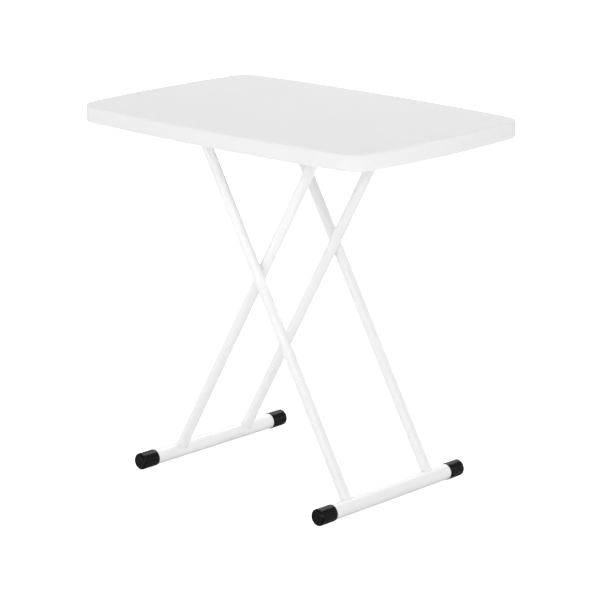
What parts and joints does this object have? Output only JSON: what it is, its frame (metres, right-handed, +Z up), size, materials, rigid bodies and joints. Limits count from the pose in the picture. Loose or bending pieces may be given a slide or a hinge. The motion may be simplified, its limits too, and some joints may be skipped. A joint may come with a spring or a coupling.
{
  "type": "folding table",
  "caption": "Small rectangular folding table with a hollow moulded top and two crossed tube leg frames that slide in rails under the top and fold flat.",
  "frame": {"origin": "on the floor, under the middle of the table top", "axes": "+X along the length of the top towards the foot of the outer frame, +Y towards the rear, +Z up"},
  "size_m": [0.7598, 0.4958, 0.727],
  "materials": {
    "white_plastic": "fine-grained satin high-density polyethylene",
    "white_powder_coat": "semi-gloss powder coat with slight orange peel",
    "black_rubber": "satin moulded rubber",
    "black_plastic": "satin moulded plastic",
    "zinc_steel": "zinc-plated pressed steel",
    "screw_steel": "bright zinc-plated steel",
    "nylon": "natural nylon"
  },
  "bodies": {
    "table_top": {"top_panel": "white_plastic", "rail_front": "zinc_steel", "rail_rear": "zinc_steel", "rail_screws_front": "screw_steel", "rail_screws_rear": "screw_steel"},
    "outer_glides": {"outer_glide_front": "nylon", "outer_glide_rear": "nylon"},
    "outer_frame": {"outer_leg_front": "white_powder_coat", "outer_leg_rear": "white_powder_coat", "outer_top_bar": "white_powder_coat", "outer_bar_plugs": "black_plastic", "outer_bar_rings": "screw_steel", "outer_foot_bar": "white_powder_coat", "outer_foot_cap_front": "black_rubber", "outer_foot_cap_rear": "black_rubber", "pivot_rivet_front": "white_powder_coat", "pivot_rivet_rear": "white_powder_coat", "pivot_washer_front": "nylon", "pivot_washer_rear": "nylon"},
    "inner_frame": {"inner_leg_front": "white_powder_coat", "inner_leg_rear": "white_powder_coat", "inner_top_bar": "white_powder_coat", "inner_bar_plugs": "black_plastic", "inner_bar_rings": "screw_steel", "inner_foot_bar": "white_powder_coat", "inner_foot_cap_front": "black_rubber", "inner_foot_cap_rear": "black_rubber", "inner_glide_front": "nylon", "inner_glide_rear": "nylon"}
  },
  "joints": [
    {"name": "outer_glide_slide", "type": "slide", "parent": "table_top", "child": "outer_glides", "axis": [-1, 0, 0], "range_m": [0, 0.1715]},
    {"name": "frame_fold", "type": "hinge", "parent": "outer_glides", "child": "outer_frame", "pos_m": [-0.14532, 0, 0.6867], "axis": [0, -1, 0], "range_deg": [0, 57.5]},
    {"name": "frame_scissor", "type": "hinge", "parent": "outer_frame", "child": "inner_frame", "pos_m": [0, 0, 0.435], "axis": [0, 1, 0], "range_deg": [0, 115.01]}
  ],
  "couplings": [
    {"joint": "outer_glide_slide", "follows": "frame_fold", "m_per_rad": 0.17},
    {"joint": "frame_scissor", "follows": "frame_fold", "ratio": 2}
  ]
}
